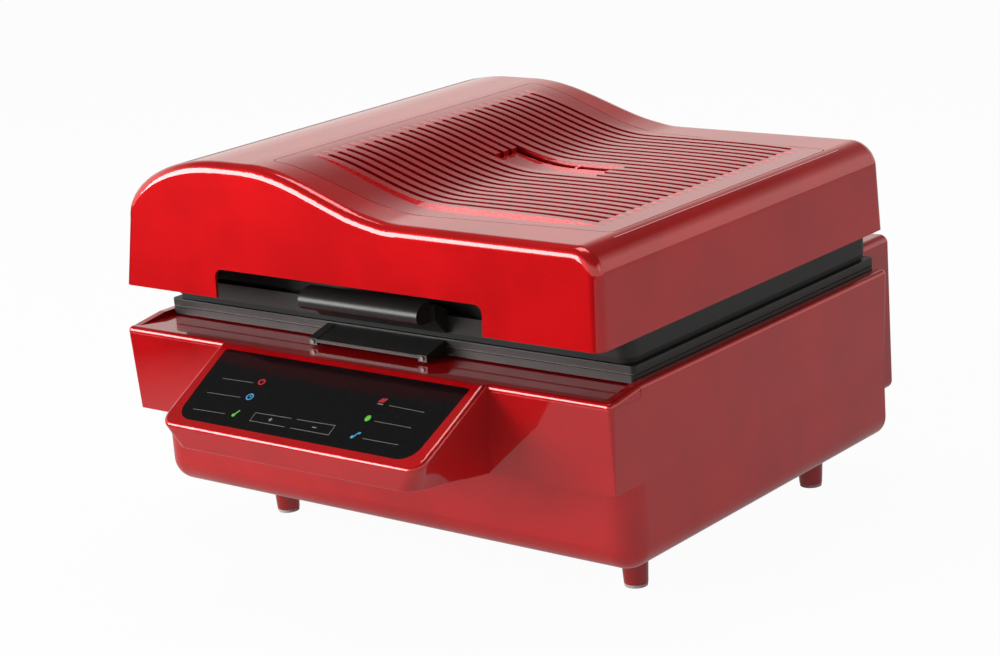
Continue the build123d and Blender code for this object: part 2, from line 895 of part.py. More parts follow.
def lower_outline(inset):
    """The lower shell in plan: round front corners, square rear ones."""
    plan_box(lower_half - inset, lower_front - inset, lower_back - inset, lower_corner - inset)
    plan_box(lower_half - inset, 0, lower_back - inset)


def console_form(inset, lift, drop):
    """The console's outer body, or with an inset the hollow inside it."""
    back = tuck / math.cos(slope)
    with BuildPart() as form:
        with BuildSketch(chin_plane.offset(lift)) as chin:
            Polygon(
                (-chin_half_back + inset, tuck),
                (-chin_half_front + inset, -chin_length + inset),
                (chin_half_front - inset, -chin_length + inset),
                (chin_half_back - inset, tuck),
                align=None,
            )
            fillet(chin.vertices().group_by(Axis.Y)[0], chin_corner - inset)
        with BuildSketch(panel_plane.offset(-drop)) as rim:
            Polygon(
                (-console_half + inset, back),
                (-console_half + inset, -slope_length + inset),
                (console_half - inset, -slope_length + inset),
                (console_half - inset, back),
                align=None,
            )
            fillet(rim.vertices().group_by(Axis.Y)[0], rim_corner - inset)
        loft(ruled=True)
    return form.part


def glass_outline(inset):
    """The control glass on the sloping panel, in the current sketch."""
    return [
        (-glass_half_back + inset, -glass_back - inset),
        (-glass_half_front + inset, -glass_front + inset),
        (glass_half_front - inset, -glass_front + inset),
        (glass_half_back - inset, -glass_back - inset),
    ]


with BuildPart() as console_body:
    add(console_form(0, 0, 0))
    slope_face = console_body.faces().sort_by(Axis.Z)[-1]
    fillet(slope_face.edges().sort_by(Axis.Y)[:-1], console_edge_round)
    chin_face = console_body.faces().sort_by(Axis.Z)[0]
    fillet(chin_face.edges().sort_by(Axis.Y)[:-1], chin_edge_round)
    split(bisect_by=ground.offset(ledge_z), keep=Keep.BOTTOM)
    split(bisect_by=ground.offset(split_z), keep=Keep.TOP)

with BuildPart() as console_hollow:
    add(console_form(wall, wall, console_panel_thick))
    split(bisect_by=ground.offset(ledge_z - wall), keep=Keep.BOTTOM)

with BuildPart() as band_body:
    with BuildSketch(ground.offset(rim_z)):
        plan_box(base_half, base_front, base_back, base_corner)
    extrude(amount=-(rim_z - split_z), taper=band_taper)
    # seen from the side: the ledge at the front, then a short climb to the rims
    with BuildSketch(side_view.offset(-base_half - wall)):
        Polygon(
            (-base_front - 2 * wall, split_z - wall),
            (-base_front - 2 * wall, ledge_z),
            (-base_front + base_corner + wall, ledge_z),
            (-base_front + ledge_depth, rim_z),
            (base_back + 2 * wall, rim_z),
            (base_back + 2 * wall, split_z - wall),
            align=None,
        )
    extrude(amount=2 * (base_half + wall), mode=Mode.INTERSECT)
    crown = band_body.faces().filter_by(lambda face: face.normal_at().Z > 0.9).edges()
    folds = (-base_front + base_corner, base_back - base_corner)
    fillet(
        [
            edge for edge in crown
            if abs(edge.tangent_at(0.5).X) < 0.99 or not folds[0] < edge.center().Y - mid < folds[1]
        ],
        top_round,
    )
    # the deck between the side rims
    with BuildSketch(ground.offset(ledge_z)):
        plan_box(base_half - rim_width, base_front + wall, base_back + 2 * wall)
    extrude(amount=2 * rim_rise, mode=Mode.SUBTRACT)
    # seam line under the ledge's rounded edge, turning up at the end of the ledge
    with BuildSketch(ground.offset(ledge_z - top_round - cap_seam / 2)):
        plan_box(base_half + wall, base_front + wall, -base_front + ledge_depth)
        plan_box(base_half - cap_seam, base_front - cap_seam, base_back, mode=Mode.SUBTRACT)
    extrude(amount=-cap_seam, mode=Mode.SUBTRACT)
    with BuildSketch(ground.offset(ledge_z - top_round - cap_seam / 2)):
        for side in (-1, 1):
            with Locations((side * (base_half + wall - cap_seam), -base_front + ledge_depth)):
                Rectangle(2 * wall, cap_seam)
    extrude(amount=2 * (rim_rise + top_round), mode=Mode.SUBTRACT)

hollow_drop = (rim_z - ledge_z + wall) * 0.05

with BuildPart() as band_hollow:
    with BuildSketch(ground.offset(ledge_z - wall)):
        plan_box(
            base_half - wall - hollow_drop,
            base_front - wall - hollow_drop,
            base_back - wall - hollow_drop,
            base_corner - wall,
        )
    extrude(amount=-(ledge_z - split_z - 2 * wall), taper=band_taper)
    with BuildSketch(ground.offset(split_z - 1)):
        lower_outline(wall)
    extrude(amount=2 * wall)

with BuildPart() as base_upper_shell:
    add(band_body.part)
    add(console_body.part)
    add(band_hollow.part, mode=Mode.SUBTRACT)
    add(console_hollow.part, mode=Mode.SUBTRACT)
    with BuildSketch(ground.offset(ledge_z)):
        plan_box(well_half, well_front, well_back, well_corner)
    extrude(amount=-2 * wall, mode=Mode.SUBTRACT)
    # seat and opening for the control glass
    with BuildSketch(panel_plane) as seat_plan:
        Polygon(*glass_outline(0), align=None)
        fillet(seat_plan.vertices().group_by(Axis.Y)[0], glass_corner)
        fillet(seat_plan.vertices().group_by(Axis.Y)[-1], 3)
    extrude(amount=-glass_thick - fit_gap, mode=Mode.SUBTRACT)
    with BuildSketch(panel_plane) as opening_plan:
        Polygon(*glass_outline(glass_seat), align=None)
        fillet(opening_plan.vertices().group_by(Axis.Y)[0], glass_corner - glass_seat)
    extrude(amount=-2 * console_panel_thick, mode=Mode.SUBTRACT)
    # screw posts under the deck
    with BuildSketch(ground.offset(split_z)):
        with Locations(*post_places):
            Circle(post_radius)
            Circle(screw_radius + slide_gap, mode=Mode.SUBTRACT)
    extrude(amount=ledge_z - split_z - wall)
    # duct opening to the rear housing
    with BuildSketch(front_view.offset(-base_back - 5)):
        with Locations((0, 170)):
            Rectangle(400, 56)
    extrude(amount=20, mode=Mode.SUBTRACT)

finish(base_upper_shell.part, "base_upper_shell")

# ---------------------------------------------------------------------------
# Base: lower shell
# ---------------------------------------------------------------------------
foot_places = [(side * (lower_half - 69.0), row) for side in (-1, 1) for row in (-107.0, 185.0)]
foot_screw_radius = 2.5
floor_z = foot_height + wall


def lower_form(inset, floor, top):
    with BuildPart() as form:
        with BuildSketch(ground.offset(floor)):
            lower_outline(inset)
        extrude(amount=top - floor)
        underside = form.faces().sort_by(Axis.Z)[0]
        fillet(underside.edges().sort_by(Axis.Y)[:-1], lower_round - inset)
    return form.part


with BuildPart() as base_lower_shell:
    add(lower_form(0, foot_height, split_z))
    add(lower_form(wall, floor_z, split_z + 1), mode=Mode.SUBTRACT)
    with BuildSketch(ground.offset(floor_z)):
        with Locations(*post_places):
            Circle(post_radius)
    extrude(amount=split_z - floor_z)
    with BuildSketch(ground.offset(foot_height)):
        with Locations(*post_places):
            Circle(screw_radius + slide_gap)
    extrude(amount=split_z, mode=Mode.SUBTRACT)
    with BuildSketch(ground.offset(floor_z)):
        with Locations(*foot_places):
            Circle(9)
    extrude(amount=12)
    with BuildSketch(ground.offset(foot_height)):
        with Locations(*foot_places):
            Circle(foot_screw_radius + slide_gap)
    extrude(amount=14, mode=Mode.SUBTRACT)
    # air slots in the underside
    with BuildSketch(ground.offset(foot_height - 1)):
        with Locations((0, 40)):
            with GridLocations(12, 1, 12, 1):
                SlotOverall(60, 4, rotation=90)
    extrude(amount=wall + 2, mode=Mode.SUBTRACT)

finish(base_lower_shell.part, "base_lower_shell")

with BuildPart() as base_screws:
    with BuildSketch(ground.offset(foot_height)):
        with Locations(*post_places):
            Circle(screw_radius)
    extrude(amount=lower_height + 16)
    with BuildSketch(ground.offset(foot_height)):
        with Locations(*post_places):
            Circle(screw_head)
    extrude(amount=-screw_head_height)

finish(base_screws.part, "base_screws")

# ---------------------------------------------------------------------------
# Feet: tapered cones on thin pads
# ---------------------------------------------------------------------------
foot_top = 13.6
foot_low = 11.0
pad_radius = 10.5
pad_height = 3.0
recess_radius = 5.0
recess_height = 30.0

with BuildPart() as feet:
    for x, row in foot_places:
        with BuildSketch(Plane((x, mid + row, 0), x_dir=(1, 0, 0), z_dir=(0, -1, 0))):
            with BuildLine():
                Polyline(
                    (foot_screw_radius + slide_gap, foot_height),
                    (foot_top - 1, foot_height),
                    (foot_top, foot_height - 2),
                    (foot_low, pad_height),
                    (recess_radius, pad_height),
                    (recess_radius, recess_height),
                    (foot_screw_radius + slide_gap, recess_height),
                    close=True,
                )
            make_face()
        revolve(axis=Axis((x, mid + row, 0), (0, 0, 1)))

finish(feet.part, "feet")

with BuildPart() as foot_pads:
    with BuildSketch(ground):
        with Locations(*foot_places):
            Circle(pad_radius)
            Circle(recess_radius, mode=Mode.SUBTRACT)
    extrude(amount=pad_height)

finish(foot_pads.part, "foot_pads")

with BuildPart() as foot_screws:
    with BuildSketch(ground.offset(recess_height)):
        with Locations(*foot_places):
            Circle(foot_screw_radius)
    extrude(amount=foot_height + 12 - recess_height)
    with BuildSketch(ground.offset(recess_height)):
        with Locations(*foot_places):
            Circle(recess_radius - 1)
    extrude(amount=-4)

finish(foot_screws.part, "foot_screws")

# ---------------------------------------------------------------------------
# Control glass, display and board behind it
# ---------------------------------------------------------------------------
with BuildPart() as control_panel_glass:
    with BuildSketch(panel_plane.offset(-fit_gap)) as glass_plan:
        Polygon(*glass_outline(fit_gap), align=None)
        fillet(glass_plan.vertices().group_by(Axis.Y)[0], glass_corner - fit_gap)
        fillet(glass_plan.vertices().group_by(Axis.Y)[-1], 3 - fit_gap)
    extrude(amount=-glass_thick)

finish(control_panel_glass.part, "control_panel_glass")

panel_middle = -(glass_back + glass_front) / 2
display_top = -fit_gap - glass_thick
display_thick = 5.0
board_drop = display_top - display_thick - 1.0
board_thick = 1.6

with BuildPart() as display_module:
    with BuildSketch(panel_plane.offset(display_top)):
        with Locations((0, panel_middle + 6)):
            Rectangle(96, 34)
    extrude(amount=-display_thick)

finish(display_module.part, "display_module")

with BuildPart() as control_board:
    with BuildSketch(panel_plane.offset(board_drop)):
        with Locations((0, panel_middle)):
            Rectangle(230, 62)
    extrude(amount=-board_thick)
    # touch pads that reach up to the glass
    with BuildSketch(panel_plane.offset(board_drop)):
        with Locations(
            *[(side * 92, panel_middle + step * 21) for side in (-1, 1) for step in (-1, 0, 1)]
        ):
            Circle(7)
    extrude(amount=display_top - board_drop)
    with BuildSketch(panel_plane.offset(board_drop - board_thick)):
        with Locations((-60, panel_middle), (10, panel_middle), (70, panel_middle)):
            Rectangle(18, 18)
    extrude(amount=-4)

finish(control_board.part, "control_board")

# ---------------------------------------------------------------------------
# Goods well under the membrane: pan, perforated table, seal
# ---------------------------------------------------------------------------
pan_wall = 2.0
pan_floor = 134.0
table_z = 147.0
table_thick = 3.0
pan_flange = 10.0
nozzle_radius = 8.0
nozzle_bore = 4.0
nozzle_length = 16.0
well_middle = (well_back - well_front) / 2

with BuildPart() as vacuum_well:
    with BuildSketch(ground.offset(ledge_z - wall)):
        plan_box(
            well_half + pan_flange, well_front + pan_flange, well_back + pan_flange, well_corner
        )
    extrude(amount=-pan_wall)
    with BuildSketch(ground.offset(ledge_z)):
        plan_box(
            well_half - fit_gap, well_front - fit_gap, well_back - fit_gap, well_corner - fit_gap
        )
    extrude(amount=-(ledge_z - pan_floor + pan_wall))
    with BuildSketch(ground.offset(ledge_z)):
        plan_box(
            well_half - fit_gap - pan_wall,
            well_front - fit_gap - pan_wall,
            well_back - fit_gap - pan_wall,
            well_corner - pan_wall,
        )
    extrude(amount=-(ledge_z - pan_floor), mode=Mode.SUBTRACT)
    # ribs that carry the table
    with BuildSketch(ground.offset(pan_floor)):
        with Locations(*[(step * well_half / 3, well_middle) for step in (-2, -1, 1, 2)]):
            Rectangle(wall, well_front + well_back - 4 * well_corner)
    extrude(amount=table_z - pan_floor)
    with BuildSketch(ground.offset(pan_floor - pan_wall)):
        with Locations((0, well_middle)):
            Circle(nozzle_radius)
    extrude(amount=-nozzle_length)
    with BuildSketch(ground.offset(pan_floor)):
        with Locations((0, well_middle)):
            Circle(nozzle_bore)
    extrude(amount=-nozzle_length - pan_wall, mode=Mode.SUBTRACT)

finish(vacuum_well.part, "vacuum_well")

table_gap = 0.6

with BuildPart() as vacuum_table:
    with BuildSketch(ground.offset(table_z)):
        plan_box(
            well_half - fit_gap - pan_wall - table_gap,
            well_front - fit_gap - pan_wall - table_gap,
            well_back - fit_gap - pan_wall - table_gap,
            well_corner - pan_wall - table_gap,
        )
        with Locations((0, well_middle)):
            with GridLocations(42, 40, 9, 6):
                Circle(2.5, mode=Mode.SUBTRACT)
    extrude(amount=table_thick)

finish(vacuum_table.part, "vacuum_table")

gasket_gap = 8.0
gasket_width = 12.0

with BuildPart() as table_gasket:
    with BuildSketch(ground.offset(ledge_z)):
        plan_ring(
            well_half + gasket_gap + gasket_width,
            well_front + gasket_gap + gasket_width,
            well_back + gasket_gap + gasket_width,
            well_corner + gasket_width,
            gasket_width,
        )
    extrude(amount=frame_lift - fit_gap)

finish(table_gasket.part, "table_gasket")

# ---------------------------------------------------------------------------
# Vacuum pump on rubber mounts, hose, release valve, power board
# ---------------------------------------------------------------------------
pump_x = 141.0 - lower_half
pump_y = 80.0
pump_axis_z = 92.0
mount_height = 8.0
mount_pitch_x = 110.0
mount_pitch_y = 50.0
plate_thick = 2.0

with BuildPart(ground.offset(floor_z)) as pump_mounts:
    with Locations((pump_x, pump_y, mount_height / 2)):
        with GridLocations(mount_pitch_x, mount_pitch_y, 2, 2):
            Cylinder(7, mount_height)

finish(pump_mounts.part, "pump_mounts")

pump_plate_z = floor_z + mount_height
motor_radius = 24.0
head_low = pump_plate_z + plate_thick
port_y = pump_y
port_radius = 4.0

with BuildPart(ground) as vacuum_pump:
    with Locations((pump_x, pump_y, pump_plate_z + plate_thick / 2)):
        Box(mount_pitch_x + 20, mount_pitch_y + 20, plate_thick)
    # motor, with a saddle down to the plate
    with Locations((pump_x - 25, pump_y, pump_axis_z)):
        Cylinder(motor_radius, 80, rotation=(0, 90, 0))
    with Locations((pump_x - 25, pump_y, (head_low + pump_axis_z) / 2)):
        Box(60, 30, pump_axis_z - head_low)
    # pump head
    with Locations((pump_x + 37, pump_y, head_low + 27)):
        Box(44, 56, 54)
    with Locations((pump_x + 37, pump_y, head_low + 54 + 1.5)):
        Box(36, 48, 3)
    # suction port toward the middle of the machine
    with BuildSketch(side_view.offset(pump_x + 59)):
        with Locations((port_y, pump_axis_z)):
            Circle(port_radius)
    extrude(amount=12)

finish(vacuum_pump.part, "vacuum_pump")

valve_x = 0.0
valve_z = 88.0
barb_length = 8.0
hose_outer = 7.0
hose_inner = nozzle_bore

with BuildPart(ground) as solenoid_valve:
    with Locations((valve_x, well_middle, valve_z)):
        Box(24, 24, 20)
    with Locations((valve_x, well_middle + 26, valve_z)):
        Cylinder(10, 28, rotation=(90, 0, 0))
    # upper and side barbs
    with Locations((valve_x, well_middle, valve_z + 14)):
        Cylinder(hose_inner, 8)
    with Locations((valve_x - 12 - barb_length / 2, well_middle, valve_z)):
        Cylinder(port_radius, barb_length, rotation=(0, 90, 0))
    with Locations((valve_x, well_middle - 2, valve_z - 10 - (valve_z - 10 - floor_z) / 2)):
        Box(16, 12, valve_z - 10 - floor_z)

finish(solenoid_valve.part, "solenoid_valve")

nozzle_low = pan_floor - pan_wall - nozzle_length
hose_start = Vector(pump_x + 59 + 2, mid + port_y, pump_axis_z)
hose_end = Vector(valve_x - 14, mid + well_middle, valve_z)
straight = Vector(12, 0, 0)     # the hose lies straight over each barb

with BuildPart() as vacuum_hose:
    with BuildLine() as hose_line:
        Line(hose_start, hose_start + straight)
        Spline(hose_start + straight, hose_end - straight, tangents=[(1, 0, 0), (1, 0, 0)])
        Line(hose_end - straight, hose_end)
    with BuildSketch(Plane(origin=hose_start, z_dir=(1, 0, 0))):
        Circle(hose_outer)
    sweep(path=hose_line.wire())
    with BuildSketch(Plane(origin=hose_start, z_dir=(1, 0, 0))):
        Circle(port_radius)
    sweep(path=hose_line.wire(), mode=Mode.SUBTRACT)
    # short sleeve from the valve up over the pan's nozzle
    with BuildSketch(ground.offset(valve_z + 10)):
        with Locations((valve_x, well_middle)):
            Circle(nozzle_radius + 3)
            Circle(nozzle_radius, mode=Mode.SUBTRACT)
    extrude(amount=nozzle_low + 8 - valve_z - 10)

finish(vacuum_hose.part, "vacuum_hose")

board_x = lower_half - 151.0
board_y = 60.0
standoff = 8.0

with BuildPart(ground) as power_board:
    with Locations((board_x, board_y, floor_z + standoff + board_thick / 2)):
        Box(130, 100, board_thick)
    with Locations((board_x, board_y, floor_z + standoff / 2)):
        with GridLocations(116, 86, 2, 2):
            Cylinder(4, standoff)
    board_top = floor_z + standoff + board_thick
    for x, y, width, depth, height in (
        (-38, 22, 36, 34, 32), (-40, -26, 22, 22, 26), (8, 26, 14, 40, 22),
        (6, -24, 24, 18, 16), (44, 20, 20, 50, 12), (44, -30, 24, 12, 14),
    ):
        with Locations((board_x + x, board_y + y, board_top + height / 2)):
            Box(width, depth, height)

finish(power_board.part, "power_board")

# ---------------------------------------------------------------------------
# Rear housing with the fan, mains inlet, fuse and switch
# ---------------------------------------------------------------------------
housing_wall = 2.5
fan_x = 120.0
fan_z = 165.0
fan_half = 40.0
fan_depth = 25.0
fan_bore = 37.0
inlet_x = -170.0
inlet_z = 125.0
inlet_width = 28.0
inlet_height = 21.0
switch_x = -170.0
switch_z = 165.0
switch_width = 15.0
switch_height = 23.0
fuse_x = -130.0
fuse_z = 125.0
fuse_radius = 6.5
housing_screws = [
    (side * (housing_half - 12.0), z)
    for side in (-1, 1) for z in (housing_low + 16.0, housing_top - 16.0)
]
back_plane = Plane((0, mid + housing_back, 0), x_dir=(-1, 0, 0), z_dir=(0, 1, 0))


def seen_from_behind(x, z):
    """A place on the rear face; that face's own x runs the other way."""
    return (-x, z)


with BuildPart() as rear_housing:
    with BuildSketch(front_view.offset(-base_back)):
        with Locations((0, (housing_low + housing_top) / 2)):
            RectangleRounded(2 * housing_half, housing_top - housing_low, housing_round)
    extrude(amount=-housing_depth)
    fillet(rear_housing.faces().sort_by(Axis.Y)[-1].edges(), 4)
    with BuildSketch(front_view.offset(-base_back - housing_wall)):
        with Locations((0, (housing_low + housing_top) / 2)):
            RectangleRounded(
                2 * (housing_half - housing_wall),
                housing_top - housing_low - 2 * housing_wall,
                housing_round - housing_wall,
            )
    extrude(amount=-(housing_depth - 2 * housing_wall), mode=Mode.SUBTRACT)
    # open toward the base
    with BuildSketch(front_view.offset(-base_back + 1)):
        with Locations((0, 170)):
            Rectangle(400, 56)
    extrude(amount=-2 * housing_wall, mode=Mode.SUBTRACT)
    with BuildSketch(back_plane.offset(1)):
        with Locations(seen_from_behind(fan_x, fan_z)):
            Circle(fan_bore)
        with Locations(seen_from_behind(inlet_x, inlet_z)):
            Rectangle(inlet_width, inlet_height)
        with Locations(seen_from_behind(switch_x, switch_z)):
            Rectangle(switch_width, switch_height)
        with Locations(seen_from_behind(fuse_x, fuse_z)):
            Circle(fuse_radius)
        with Locations(*[seen_from_behind(x, z) for x, z in housing_screws]):
            Circle(screw_radius + slide_gap)
    extrude(amount=-2 * housing_wall, mode=Mode.SUBTRACT)
    # posts that take the screws through to the base
    with BuildSketch(front_view.offset(-base_back)):
        with Locations(*housing_screws):
            Circle(post_radius)
            Circle(screw_radius + slide_gap, mode=Mode.SUBTRACT)
    extrude(amount=-(housing_depth - housing_wall))
    with BuildSketch(front_view.offset(-base_back + 1)):
        with Locations(*housing_screws):
            Circle(screw_radius + slide_gap)
    extrude(amount=-2 * housing_wall, mode=Mode.SUBTRACT)

finish(rear_housing.part, "rear_housing")

with BuildPart() as rear_screws:
    with BuildSketch(back_plane):
        with Locations(*[seen_from_behind(x, z) for x, z in housing_screws]):
            Circle(screw_radius)
    extrude(amount=-(housing_depth - 1))
    with BuildSketch(back_plane):
        with Locations(*[seen_from_behind(x, z) for x, z in housing_screws]):
            Circle(screw_head)
    extrude(amount=screw_head_height)

finish(rear_screws.part, "rear_screws")

fan_face = housing_depth - housing_wall
hub_radius = 16.0
rotor_radius = 35.5
axle_radius = 2.5

with BuildPart() as fan_housing:
    with BuildSketch(back_plane.offset(-housing_wall)):
        with Locations(seen_from_behind(fan_x, fan_z)):
            RectangleRounded(2 * fan_half, 2 * fan_half, 5)
            Circle(fan_bore, mode=Mode.SUBTRACT)
    extrude(amount=-fan_depth)
    # motor seat on three spokes, at the inner end
    with BuildSketch(back_plane.offset(-housing_wall - fan_depth)):
        with Locations(seen_from_behind(fan_x, fan_z)):
            Circle(hub_radius)
            with PolarLocations(0, 3, start_angle=90):
                with Locations((fan_bore / 2, 0)):
                    Rectangle(fan_bore + 2, 5)
    extrude(amount=3)
    with BuildSketch(back_plane.offset(-housing_wall - fan_depth + 3)):
        with Locations(seen_from_behind(fan_x, fan_z)):
            Circle(axle_radius)
    extrude(amount=14)

finish(fan_housing.part, "fan_housing")

blade_count = 7
rotor_start = 4.0          # from the inner face of the fan housing
rotor_depth = 17.0
blade_root = 12.0
blade_chord = 18.0
blade_pitch = 35.0

with BuildPart() as fan_rotor:
    rotor_base = back_plane.offset(-housing_wall - fan_depth + rotor_start)
    with BuildSketch(rotor_base):
        with Locations(seen_from_behind(fan_x, fan_z)):
            Circle(hub_radius - 1)
    extrude(amount=rotor_depth)
    centre = rotor_base.from_local_coords(Vector(-fan_x, fan_z, rotor_depth / 2))
    for i in range(blade_count):
        angle = math.tau * i / blade_count
        radial = rotor_base.x_dir * math.cos(angle) + rotor_base.y_dir * math.sin(angle)
        root = Plane(
            origin=centre + radial * blade_root, x_dir=rotor_base.z_dir, z_dir=radial
        )
        with BuildSketch(root):
            Rectangle(blade_chord, 1.8, rotation=blade_pitch)
        extrude(amount=rotor_radius - blade_root)
    with BuildSketch(rotor_base):
        with Locations(seen_from_behind(fan_x, fan_z)):
            Circle(axle_radius + pin_clearance)
    extrude(amount=13.5, mode=Mode.SUBTRACT)

finish(fan_rotor.part, "fan_rotor")

with BuildPart() as fan_guard:
    with BuildSketch(back_plane):
        with Locations(seen_from_behind(fan_x, fan_z)):
            for radius in (39.0, 29.0, 19.0, 9.0):
                Circle(radius + 1)
                Circle(radius - 1, mode=Mode.SUBTRACT)
            with PolarLocations(0, 4, start_angle=45):
                with Locations((23, 0)):
                    Rectangle(32, 2.4)
    extrude(amount=guard_proud / 2)
    with BuildSketch(back_plane):
        with Locations(seen_from_behind(fan_x, fan_z)):
            with PolarLocations(44.5, 4, start_angle=45):
                Circle(3.5)
            with PolarLocations(0, 4, start_angle=45):
                with Locations((41, 0)):
                    Rectangle(6, 4)
    extrude(amount=guard_proud)

finish(fan_guard.part, "fan_guard")

with BuildPart() as power_inlet:
    with BuildSketch(back_plane):
        with Locations(seen_from_behind(inlet_x, inlet_z)):
            Rectangle(inlet_width + 6, inlet_height + 6)
    extrude(amount=2)
    with BuildSketch(back_plane):
        with Locations(seen_from_behind(inlet_x, inlet_z)):
            Rectangle(inlet_width - 0.6, inlet_height - 0.6)
    extrude(amount=-22)
    # socket with three contacts left standing
    with BuildSketch(back_plane.offset(2)):
        with Locations(seen_from_behind(inlet_x, inlet_z)):
            RectangleRounded(24, 17, 3)
            with Locations((-7, -1.5), (0, 2.5), (7, -1.5)):
                Rectangle(2, 4.5, mode=Mode.SUBTRACT)
    extrude(amount=-18, mode=Mode.SUBTRACT)

finish(power_inlet.part, "power_inlet")

with BuildPart() as fuse_holder:
    with BuildSketch(back_plane):
        with Locations(seen_from_behind(fuse_x, fuse_z)):
            Circle(fuse_radius + 1.5)
    extrude(amount=3)
    with BuildSketch(back_plane):
        with Locations(seen_from_behind(fuse_x, fuse_z)):
            Circle(fuse_radius - 0.3)
    extrude(amount=-24)
    with BuildSketch(back_plane.offset(3)):
        with Locations(seen_from_behind(fuse_x, fuse_z)):
            Rectangle(9, 1.6)
    extrude(amount=-1.2, mode=Mode.SUBTRACT)

finish(fuse_holder.part, "fuse_holder")

rocker_axle = 1.5
rocker_inset = 3.0         # pivot behind the rear face
rocker_tilt = 12.0
rocker_half = 9.0
rocker_width = 9.6

with BuildPart() as power_switch_body:
    with BuildSketch(back_plane):
        with Locations(seen_from_behind(switch_x, switch_z)):
            Rectangle(switch_width + 4, switch_height + 4)
    extrude(amount=1.5)
    with BuildSketch(back_plane):
        with Locations(seen_from_behind(switch_x, switch_z)):
            Rectangle(switch_width - 0.6, switch_height - 0.6)
    extrude(amount=-18)
    with BuildSketch(back_plane.offset(1.5)):
        with Locations(seen_from_behind(switch_x, switch_z)):
            Rectangle(10.4, 20.4)
    extrude(amount=-13, mode=Mode.SUBTRACT)
    # pivot pin across the pocket
    with BuildSketch(side_view.offset(switch_x - 6)):
        with Locations((housing_back - rocker_inset, switch_z)):
            Circle(rocker_axle)
    extrude(amount=12)

finish(power_switch_body.part, "power_switch_body")

with BuildPart() as power_switch_rocker:
    with BuildSketch(side_view.offset(switch_x - rocker_width / 2)):
        with Locations(Location((housing_back - rocker_inset, switch_z, 0), rocker_tilt)):
            Polygon(
                (2.5, -rocker_half),
                (1.6, 0),
                (2.5, rocker_half),
                (-1.5, rocker_half),
                (-4.0, 0),
                (-1.5, -rocker_half),
                align=None,
            )
            Circle(rocker_axle + pin_clearance, mode=Mode.SUBTRACT)
    extrude(amount=rocker_width)

finish(power_switch_rocker.part, "power_switch_rocker")
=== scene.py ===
import json
import math

import bmesh
import bpy
from mathutils import Matrix, Vector


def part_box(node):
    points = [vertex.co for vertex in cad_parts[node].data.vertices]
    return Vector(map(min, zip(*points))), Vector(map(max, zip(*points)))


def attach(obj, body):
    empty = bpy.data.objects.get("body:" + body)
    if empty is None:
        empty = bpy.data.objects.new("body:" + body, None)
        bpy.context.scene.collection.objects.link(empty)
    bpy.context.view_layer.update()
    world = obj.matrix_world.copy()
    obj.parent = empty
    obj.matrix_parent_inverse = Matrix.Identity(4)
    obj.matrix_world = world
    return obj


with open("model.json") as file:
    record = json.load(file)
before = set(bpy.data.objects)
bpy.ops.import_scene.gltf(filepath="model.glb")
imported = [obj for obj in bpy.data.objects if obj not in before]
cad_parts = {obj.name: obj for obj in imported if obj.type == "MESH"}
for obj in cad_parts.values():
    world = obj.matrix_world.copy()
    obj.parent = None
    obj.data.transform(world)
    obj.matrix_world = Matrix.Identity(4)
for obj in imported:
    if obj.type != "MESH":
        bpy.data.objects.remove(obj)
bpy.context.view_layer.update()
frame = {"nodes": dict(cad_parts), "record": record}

nodes = frame["nodes"]
scene = bpy.context.scene
mm = 0.001
white = (1.0, 1.0, 1.0)
print("frame loaded,", len(nodes), "nodes")


# a socket that takes part in plain Python expressions
class Value:
    def __init__(self, graph, socket):
        self.graph = graph
        self.socket = socket

    def maths(self, operation, first, second, clamp=False):
        settings = {"operation": operation, "use_clamp": clamp}
        return self.graph.node("ShaderNodeMath", settings, {0: first, 1: second})

    def __add__(self, other):
        return self.maths("ADD", self, other)

    def __sub__(self, other):
        return self.maths("SUBTRACT", self, other)

    def __rsub__(self, other):
        return self.maths("SUBTRACT", other, self)

    def __mul__(self, other):
        return self.maths("MULTIPLY", self, other)

    def clamped(self):
        return self.maths("ADD", self, 0.0, clamp=True)

    __radd__ = __add__
    __rmul__ = __mul__


# one node tree, for a material or for the world
class Graph:
    def __init__(self, tree, glowKind="ShaderNodeEmission"):
        self.tree = tree
        self.tree.nodes.clear()
        self.glowKind = glowKind

    def plug(self, socket, value):
        if isinstance(value, Value):
            self.tree.links.new(value.socket, socket)
        elif isinstance(value, tuple) and len(value) == 3 and len(socket.default_value) == 4:
            socket.default_value = (*value, 1.0)
        else:
            socket.default_value = value

    def node(self, kind, settings, sockets, output=0):
        made = self.tree.nodes.new(kind)
        for key, value in settings.items():
            setattr(made, key, value)
        for key, value in sockets.items():
            self.plug(made.inputs[key], value)
        return None if output is None else Value(self, made.outputs[output])

    def rays(self, kind):
        return self.node("ShaderNodeLightPath", {}, {}, output="Is " + kind + " Ray")

    def clearRays(self):
        return self.rays("Camera") + self.rays("Transmission")

    def between(self, value, low, high):
        sockets = {"Value": value, "From Min": low, "From Max": high}
        return self.node("ShaderNodeMapRange", {"clamp": True}, sockets)

    def either(self, factor, first, second):
        return self.node("ShaderNodeMixShader", {}, {0: factor, 1: first, 2: second})

    def glow(self, strength, colour=white):
        return self.node(self.glowKind, {}, {"Color": colour, "Strength": strength})


